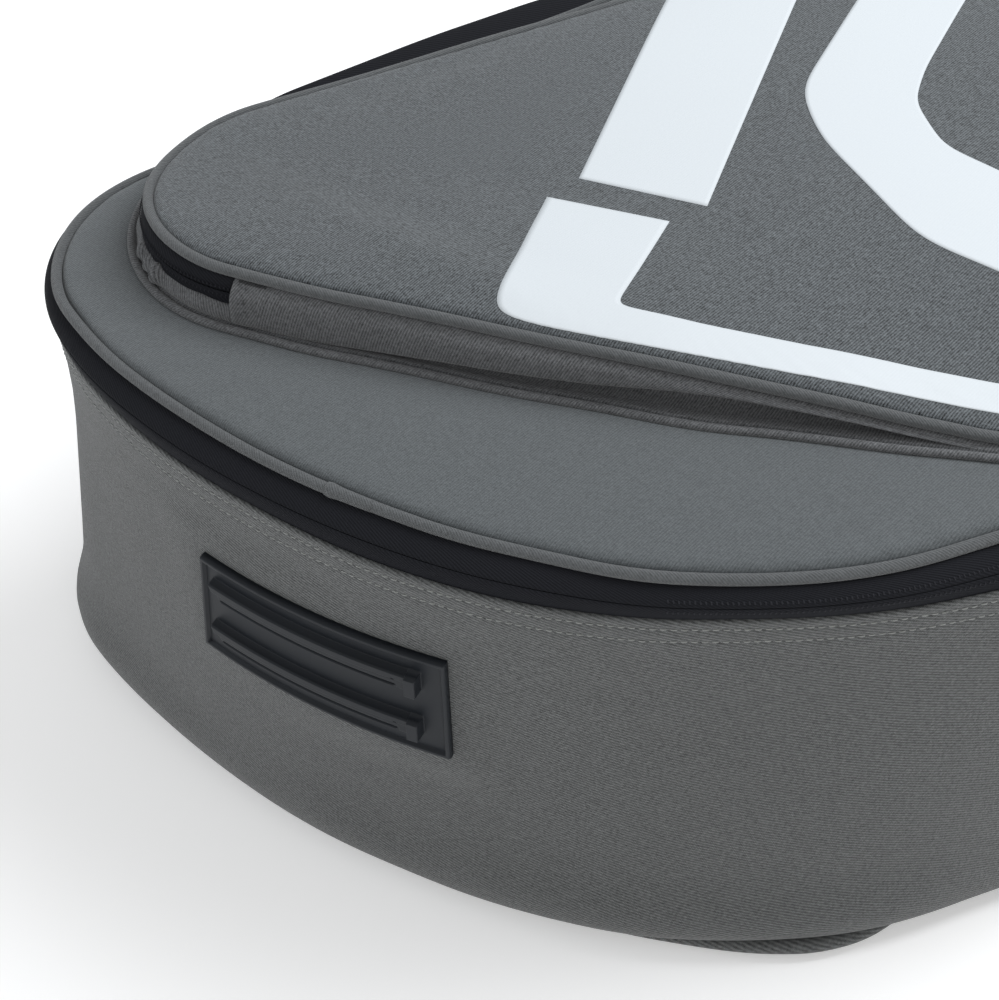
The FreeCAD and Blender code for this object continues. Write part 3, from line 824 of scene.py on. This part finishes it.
def follow_sag(obj):
    """The flap's underside keeps its distance from the top."""
    co = np.empty(len(obj.data.vertices) * 3)
    obj.data.vertices.foreach_get("co", co)
    co = co.reshape(-1, 3)
    low = np.abs(co[:, 2] - (FLAP_Z + 0.2) * MM) < 1e-6
    co[low, 2] += sag(co[low, 0] / MM, co[low, 1] / MM) * MM
    obj.data.vertices.foreach_set("co", co.ravel())
    obj.data.update()


follow_sag(flap)
set_piece(flap, "pocket_flap", "panel", ("pocket_panel",))
piping("pocket_piping_cloth", pocket, slip(pocket, FLAP_SLIP) - 2.3,
       FLAP_Z + 2.4 + sag(pocket.p[:, 0], pocket.p[:, 1]), "pocket_flap", "pocket_piping", 42)


# ---------------------------------------------------------------- printed shapes
FLAP_TREE = BVHTree.FromPolygons([v.co for v in flap.data.vertices],
                                 [p.vertices for p in flap.data.polygons])


def flap_height(x, y):
    """Top of the pocket panel, as the highest of three close rays."""
    hits = [FLAP_TREE.ray_cast(((x + near) * MM, (y + 0.7 * near) * MM, 0.4), (0, 0, -1))[0]
            for near in (-0.13, 0.0, 0.11)]
    hits = [hit[2] for hit in hits if hit is not None]
    if not hits:
        hits = [FLAP_TREE.find_nearest((x * MM, y * MM, 0.225))[0][2]]
    return max(hits) / MM


def print_patch(name, grid):
    """A printed area given as a grid of (x, y), laid on the pocket panel."""
    z = np.array([flap_height(x, y) for x, y in grid.reshape(-1, 2)]) + 0.24
    top = np.dstack([grid, z.reshape(grid.shape[:2])])
    facing = np.cross(top[0, 1] - top[0, 0], top[1, 1] - top[0, 1])[2]
    set_piece(slab(name, [top, top - [0, 0, 0.25]], INK, flip=facing < 0), "pocket_flap", "panel")


def quad_grid(a, b, c, d, rows=64, cols=30):
    """Grid over four corners, given in order round the shape."""
    u, v = np.meshgrid(np.linspace(0, 1, cols), np.linspace(0, 1, rows))
    a, b, c, d = (np.array(p, float) for p in (a, b, c, d))
    u, v = u[:, :, None], v[:, :, None]
    return (a * (1 - u) + b * u) * (1 - v) + (d * (1 - u) + c * u) * v


def smooth_line(points, count=90, blur=0):
    """Evenly spaced points along a polyline, corners rounded by blurring."""
    points = np.array(points, float)
    reach = np.concatenate([[0.0], np.cumsum(np.hypot(*np.diff(points, axis=0).T))])
    t = np.linspace(0, reach[-1], count)
    line = np.column_stack([np.interp(t, reach, points[:, i]) for i in (0, 1)])
    for _ in range(blur):
        line[1:-1] = (line[:-2] + line[1:-1] * 2 + line[2:]) / 4
    return line


def between(outer, inner, cols=24):
    share = np.linspace(0, 1, cols)[None, :, None]
    return outer[:, None, :] * (1 - share) + inner[:, None, :] * share


def printed_shapes():
    """Plain bold shapes: an upright bar, a rounded corner frame and an elbow."""
    print_patch("print_upright", quad_grid((-30, 3), (23, -4), (31, 162), (-25, 150)))
    outer = smooth_line([(-39, -12), (-39.5, -52), (-40, -88), (-22, -90.2), (2, -90.6), (24, -90.4),
                         (38, -89.6), (74, -87.6), (109, -84.6), (172, -80.4)], 150, 24)
    inner = smooth_line([(11, -17), (7, -50), (3.5, -73), (12, -73.4), (35, -74), (71, -72.8), (107, -70.6),
                         (172, -67.0)], 150, 10)
    print_patch("print_corner", between(outer, inner, 20))
    outer = smooth_line([(58, 168), (44, 82), (58, 50), (104, -4), (172, -26)], 120, 40)
    inner = smooth_line([(103, 174), (92, 109), (91, 84), (106, 56), (172, 22)], 120, 30)
    print_patch("print_elbow", between(outer, inner, 30))


printed_shapes()


# ---------------------------------------------------------------- rubber plate
def plate_height(u, z):
    """Relief of the moulded plate: rim, groove, two ribbed bars with block ends."""
    in_u, in_z = np.minimum(u, 1 - u) * 118.0, np.minimum(z - PLATE_LOW, PLATE_HIGH - z)
    rim = np.minimum(in_u, in_z)
    h = 1.6 + 1.5 * step01(-rim, -2.2, -1.9) * step01(rim, -0.1, 0.5)
    h = h - 1.3 * np.exp(-((rim - 2.7) / 0.45) ** 2)
    for low in (PLATE_LOW + 9.0, PLATE_LOW + 33.6):
        t = z - low
        start = 0.05 + 0.05 * (1 - np.clip(t / 10.0, 0, 1))
        band = step01(u - start, 0.0, 0.008) * step01(-u, -0.872, -0.868) * step01(t, 0.0, 0.4)
        band = band * step01(-t, -10.0, -9.4)
        ridge = 1.6 * step01(t, 5.9, 6.5)
        cut = 0.0
        for line in (1.7, 5.2):
            line_ends = step01(u, 0.1, 0.11) * step01(-u, -0.822, -0.816)
            cut = cut + 1.6 * np.exp(-((t - line) / 0.42) ** 2) * line_ends
        mark = 1.6 * np.exp(-((u - 0.819) / 0.004) ** 2) * (np.abs(np.abs(t - 3.45) - 2.4) < 1.1)
        block = 5.4 * step01(t, 0.5, 0.9) * step01(-t, -10.4, -10.0)
        block = block * step01(u, 0.862, 0.866) * step01(-u, -0.908, -0.903)
        h = np.maximum(h, 1.6 + np.maximum(band * (2.4 + ridge) - cut - mark, block))
    return h


def rubber_cover():
    steps = ((0, 0.12, 46), (0.12, 0.81, 70), (0.81, 0.92, 84), (0.92, 1, 30))
    cols = np.unique(np.concatenate([np.linspace(*step) for step in steps]))
    u, z = np.meshgrid(cols, np.linspace(PLATE_LOW, PLATE_HIGH, 176))
    left = PLATE_LEFT + 5.0 * (z - PLATE_LOW) / (PLATE_HIGH - PLATE_LOW)
    front_side = body.part(body.p[:, 1] < -60)
    s_left, s_right = (np.interp(x, front_side.p[:, 0], front_side.s) for x in (left, PLATE_RIGHT))
    s = (s_left + (s_right - s_left) * u).ravel()
    p, n = at(body, s)
    flat = FLARE * (FOLD_Z - z) / (FOLD_Z - FOOT_Z)
    skins = [lift3(p + n * off.reshape(-1, 1), z.ravel()).reshape(*u.shape, 3)
             for off in (flat + 0.35 + plate_height(u, z), flat - 0.4)]
    uv = np.tile(np.column_stack([s, z.ravel()]), (2, 1))
    set_piece(slab("rubber_plate_cover", skins, RUBBER, uv), "case", "rubber", ("rubber_plate",))


rubber_cover()


# ---------------------------------------------------------------- parts that keep their CAD shape
for which in ("main_%s_a", "main_%s_b", "pocket_%s"):
    for part_name, mat in (("slider", LACQUER), ("pull", PULL)):
        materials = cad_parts[which % part_name].data.materials
        materials.clear()
        materials.append(mat)


# ---------------------------------------------------------------- back, straps and handle
def quilted(x, y, pitch):
    """0 in the swollen squares, down to -1 on the seams, which run diagonally."""
    rows, columns = (np.abs(np.cos(math.pi * way / pitch)) ** 0.35 for way in (x + y, x - y))
    return rows * columns - 1


def box_pad(name, low, high, slot, node, mat, radius, puff, seed, fill=0.0):
    """A stuffed pad: rounded in plan, with rounded edges."""
    (cx, cy, cz), (hx, hy, hz) = (np.array(low) + high) / 2, (np.array(high) - low) / 2
    u, v = np.meshgrid(*(np.linspace(-1, 1, max(8, int(2 * half / 3))) for half in (hx, hy)))
    x, y = u * hx, v * hy
    dx, dy = np.maximum(np.abs(x) - (hx - radius), 0), np.maximum(np.abs(y) - (hy - radius), 0)
    far = np.hypot(dx, dy)
    pull = np.where(far > 0, np.maximum(dx, dy) / np.maximum(far, 1e-9), 1.0)
    x = np.sign(x) * (np.minimum(np.abs(x), hx - radius) + dx * pull)
    y = np.sign(y) * (np.minimum(np.abs(y), hy - radius) + dy * pull)
    corner = np.hypot(np.maximum(np.abs(x) - hx + radius, 0), np.maximum(np.abs(y) - hy + radius, 0))
    edge = np.minimum.reduce([radius - corner, hx - np.abs(x), hy - np.abs(y)])
    round_ = np.sqrt(np.clip(1 - (1 - np.clip(edge / puff, 0, 1)) ** 2, 0, 1))
    wave = 0.04 * np.sin(x / 17.0 + seed) * np.sin(y / 23.0 + 2 * seed)
    thick = np.clip(round_ * (0.98 + wave), 0.06, 1.0) * hz
    obj = set_piece(slab(name, pad_skins(x + cx, y + cy, cz, thick), mat), "case", slot, (node,))


def node_corners(node):
    return (np.array(c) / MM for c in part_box(node))


def outline_pad(name, node, slot, mat, edge, low, high, x_range, pitch, fill):
    """A pad cut to the bag's outline between two X limits, quilted on both faces."""
    inner = body.p + body.n * edge
    xs0, xs1 = x_range
    cols_x = np.linspace(xs0, xs1, max(10, int((xs1 - xs0) / 4)))
    cols_x = np.clip(cols_x, inner[:, 0].min() + 0.5, inner[:, 0].max() - 0.5)
    spans = []
    for x in cols_x:
        cross = [a[1] + (b[1] - a[1]) * (x - a[0]) / (b[0] - a[0])
                 for a, b in zip(inner, np.roll(inner, -1, 0))
                 if (a[0] - x) * (b[0] - x) <= 0 and a[0] != b[0]]
        spans.append((min(cross), max(cross)))
    lo, hi = np.array(spans).T
    share = np.linspace(0, 1, 92)[:, None]
    y = lo + (hi - lo) * share
    x = np.broadcast_to(cols_x, y.shape)
    edge_x, edge_y = np.minimum(x - xs0, xs1 - x), np.minimum(y - lo, hi - y) * 0.75
    rim_in = np.clip(np.minimum(edge_x, edge_y) / 7.0, 0, 1)
    round_ = np.sqrt(1 - (1 - rim_in) ** 2)
    thick = np.clip(round_ * (0.98 + 0.16 * quilted(x, y, pitch)), 0.08, 1.0) * (high - low) / 2
    obj = slab(name, pad_skins(x, y, (low + high) / 2, thick), mat)
    set_piece(obj, "case", slot, (node,))


LEFT_X, RIGHT_X = body.p[:, 0].min(), body.p[:, 0].max()
for side, x_range in (("centre", (-46.0, 46.0)), ("left", (LEFT_X + 17.0, -122.0)),
                      ("right", (122.0, RIGHT_X - 17.0))):
    outline_pad("back_cushion_" + side, "back_pad_" + side, "padding", MESH_PAD, -16.0, 0.0, 9.9,
                x_range, 26.0, 0.5)
outline_pad("floor_quilt", "floor_pad", "lining", LINING, -4.0, *(c[2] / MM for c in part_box("floor_pad")),
            (LEFT_X + 5.0, RIGHT_X - 5.0), 34.0, 0.6)
back_cloth = filled("back_cloth", body, wall_offset(body.s, 11.0, body.p) - 0.9, 9.9,
                    lambda x, y, inside: np.full(len(x), 12.9), [WALL_CLOTH], steps=12, thick_edge=0.4)
set_piece(back_cloth, "case", "shell", ("back_panel",))
low, high = node_corners("retaining_strap")
box_pad("retaining_webbing", (low[0], 0.0, low[2]), (high[0], 40.0, low[2] + 2.0), "webbing",
        "retaining_strap", WEBBING, 2.0, 1.0, 4.0)
box_pad("retaining_buckle", (60.0, -4.0, low[2] + 2.2), (96.0, 44.0, high[2]), "webbing",
        "retaining_strap", PULL, 5.0, 1.6, 5.0)
for seed, side in ((1.0, "left"), (2.0, "right")):
    box_pad("shoulder_pad_" + side, *node_corners("shoulder_strap_" + side), "padding",
            "shoulder_strap_" + side, MESH_PAD, 18.0, 6.0, seed, fill=0.7)
    box_pad("shoulder_webbing_" + side, *node_corners("strap_webbing_" + side), "webbing",
            "strap_webbing_" + side, WEBBING, 1.5, 1.0, 3.0)


def anchor_tabs():
    """Folded tabs that hold the straps' webbing at the curved end."""
    sewn = ((58, -128.2), (110, -128.2))
    for side, sign, ends in (("left", -1, ((118, -156), (84, -162))),
                             ("right", 1, ((126, -170), (90, -180)))):
        grid = quad_grid(*sewn, *ends, rows=26, cols=18)
        inset = [np.linspace(0, 1, count) for count in grid.shape[:2]]
        rim_in = np.minimum.outer(*(np.minimum(f, 1 - f) * 14 for f in inset))
        thick = 1.75 * np.sqrt(np.clip(1 - (1 - np.clip(rim_in, 0, 1)) ** 2, 0.02, 1))
        x, y = grid[:, :, 0] * sign, grid[:, :, 1]
        skins = pad_skins(x, y, 2.8 + 0.15 * np.sin(x / 9.0), thick)
        set_piece(slab("strap_tab_" + side, skins, GUSSET_CLOTH, flip=sign > 0), "case", "webbing",
                  ("strap_anchor_" + side,))


anchor_tabs()


def grip():
    """Carry handle: a padded half ring with a wrapped grip and webbing eyes."""
    low, high = node_corners("carry_handle")
    x_mid, y_mid = (low[0] + high[0]) / 2, (low[1] + high[1]) / 2
    count, sides = 72, 20
    turn = 2 * math.pi * np.arange(sides)[:, None] / sides
    rings = []
    for k in range(count + 1):
        f = k / count
        out = np.array([math.cos(math.pi + f * math.pi), 0.0, math.sin(math.pi + f * math.pi)])
        radius = 5.6 + 2.2 * math.exp(-(((f - 0.5) / 0.22) ** 4)) + 0.12 * math.sin(f * 190.0)
        if f < 0.06 or f > 0.94:
            radius = 6.4
        centre = np.array([x_mid, y_mid, PIN_Z]) + GRIP_REACH * out
        rings.append(centre + radius * (out * np.cos(turn) + np.array([0, 1, 0]) * np.sin(turn)))
    obj = loft("carry_grip", rings, [WEBBING, MESH_PAD], lambda k, q: (k * 2.0, q * 2.2),
               lambda k: 1 if 0.24 < (k + 0.5) / count < 0.76 else 0)
    set_piece(obj, "handle", "padding", ("carry_handle",))
    for side, sign in (("left", -1), ("right", 1)):
        eye("handle_eye_" + side, (x_mid + sign * GRIP_REACH, y_mid, PIN_Z), 4.4, 7.6, 4.4)


def eye(name, centre, inner, outer, half):
    """Webbing eye round a pin that lies along X."""
    sides = 32
    edge = [(-half, inner), (-half, outer - 0.8), (-half + 0.8, outer), (half - 0.8, outer),
            (half, outer - 0.8), (half, inner)]
    rings = [[(centre[0] + x, centre[1] + r * math.cos(a), centre[2] + r * math.sin(a)) for x, r in edge]
             for a in 2 * math.pi * np.arange(sides) / sides]
    obj = loft(name, rings, [WEBBING], lambda k, q: (q % len(edge), k), closed=True)
    set_piece(obj, "handle", "webbing")


def pin(name, x0, x1, y, z, radius):
    """Round pin along X with chamfered ends."""
    turns = 2 * math.pi * np.arange(24) / 24
    rings = [[(x, y + r * math.cos(a), z + r * math.sin(a)) for a in turns]
             for x, r in ((x0, radius - 0.5), (x0 + 0.5, radius), (x1 - 0.5, radius), (x1, radius - 0.5))]
    return loft(name, rings, [LACQUER], lambda k, q: rings[k][q % 24][::2])


def handle_loops():
    """Folded webbing sewn to the wall, looped round the pin of the carry handle."""
    rows, cols = 70, 9
    for side in ("left", "right"):
        node = "handle_mount_" + side
        low, high = node_corners(node)
        x0 = low[0] if side == "left" else high[0] - 12.0
        pin_y, wall_y = high[1] - 6.4, low[1] + 0.6
        sewn = [(wall_y, 9.5), (wall_y + 0.3, 6.5), (wall_y + 1.6, 3.6)]
        line = [(y, PIN_Z + z) for y, z in sewn]
        line += [(pin_y + 4.0 * math.cos(a), PIN_Z + 4.0 * math.sin(a))
                 for a in np.linspace(math.radians(125), math.radians(-125), 22)]
        line += [(y, PIN_Z - z) for y, z in sewn[::-1]]
        line = smooth_line(line, rows, 2)
        tangent = unit(np.gradient(line, axis=0))
        normal = np.column_stack([-tangent[:, 1], tangent[:, 0]])
        xs = np.broadcast_to(np.linspace(x0, x0 + 12.0, cols), (rows, cols))
        bulge = 0.7 - 0.25 * np.abs(np.linspace(-1, 1, cols)) ** 4
        skins = [np.dstack([xs, line[:, None, :] + normal[:, None, :] * (way * bulge)[:, None]])
                 for way in (1.0, -1.0)]
        uv = np.tile(np.column_stack([xs.ravel(), np.repeat(np.arange(rows) * 1.2, cols)]), (2, 1))
        set_piece(slab("handle_loop_" + side, skins, WEBBING, uv), "case", "webbing", (node,))
        inset = (0.0, 4.0) if side == "right" else (4.0, 0.0)
        obj = pin("handle_pin_" + side, low[0] + inset[0], high[0] - inset[1], pin_y, PIN_Z, 2.9)
        set_piece(obj, "case", "webbing", (node,))


grip()
handle_loops()


# ---------------------------------------------------------------- floor, light, camera
def stage():
    bpy.ops.mesh.primitive_plane_add(size=8.0, location=(0, 0, -0.0005))
    floor = bpy.context.object
    floor.name = "floor"
    shader = Shader("floor")
    shader.feed(shader.bsdf, {"Base Color": (0.92, 0.92, 0.92, 1), "Emission Color": (1.0, 1.0, 1.0, 1),
                              "Emission Strength": 0.30, "Roughness": 0.9})
    floor.data.materials.append(shader.mat)


def area_light(name, place, aim, size, power, colour=(1, 1, 1)):
    data = bpy.data.lights.new(name, "AREA")
    data.shape = "RECTANGLE"
    data.size, data.size_y = size
    data.energy = power
    data.color = colour
    obj = bpy.data.objects.new(name, data)
    bpy.context.scene.collection.objects.link(obj)
    obj.location = place
    obj.rotation_euler = (Vector(aim) - Vector(place)).to_track_quat("-Z", "Y").to_euler()



def studio():
    world = bpy.data.worlds.new("studio")
    world.use_nodes = True
    back = world.node_tree.nodes["Background"]
    back.inputs["Color"].default_value = (1.0, 1.0, 1.0, 1)
    back.inputs["Strength"].default_value = 0.50
    bpy.context.scene.world = world
    area_light("key", (0.75, 0.55, 1.5), (0, 0, 0.15), (1.0, 1.0), 23.0, (0.95, 0.975, 1.0))
    area_light("left", (-1.6, -0.4, 0.7), (0, 0, 0.15), (0.8, 0.8), 3.0, (0.80, 0.90, 1.0))
    area_light("fill", (0.6, -1.6, 0.8), (0, 0, 0.1), (1.2, 0.8), 4.0, (1.0, 0.98, 0.95))
    bpy.context.scene.view_settings.view_transform = "Standard"


def camera():
    """The view of the photograph: from the curved end, high and to the right."""
    elevation, azimuth, roll = math.radians(45.3), math.radians(18.27), math.radians(-3.28)
    distance, focal_px, width_px = 0.7054, 1969.4, 999.0
    target = np.array([-0.0227, -0.1420, 0.190])
    forward = np.array([-math.sin(azimuth) * math.cos(elevation), math.cos(azimuth) * math.cos(elevation),
                        -math.sin(elevation)])
    level = np.array([math.cos(azimuth), math.sin(azimuth), 0.0])
    up = np.cross(level, forward)
    right = math.cos(roll) * level + math.sin(roll) * up
    top = -math.sin(roll) * level + math.cos(roll) * up
    data = bpy.data.cameras.new("camera")
    data.sensor_fit = "HORIZONTAL"
    data.sensor_width = 36.0
    data.lens = focal_px / width_px * 36.0
    data.clip_start = 0.01
    obj = bpy.data.objects.new("camera", data)
    bpy.context.scene.collection.objects.link(obj)
    place = target - distance * forward
    rows = [[right[i], top[i], -forward[i], place[i]] for i in range(3)] + [[0, 0, 0, 1]]
    obj.matrix_world = Matrix(rows)
    bpy.context.scene.camera = obj


stage()
studio()
camera()
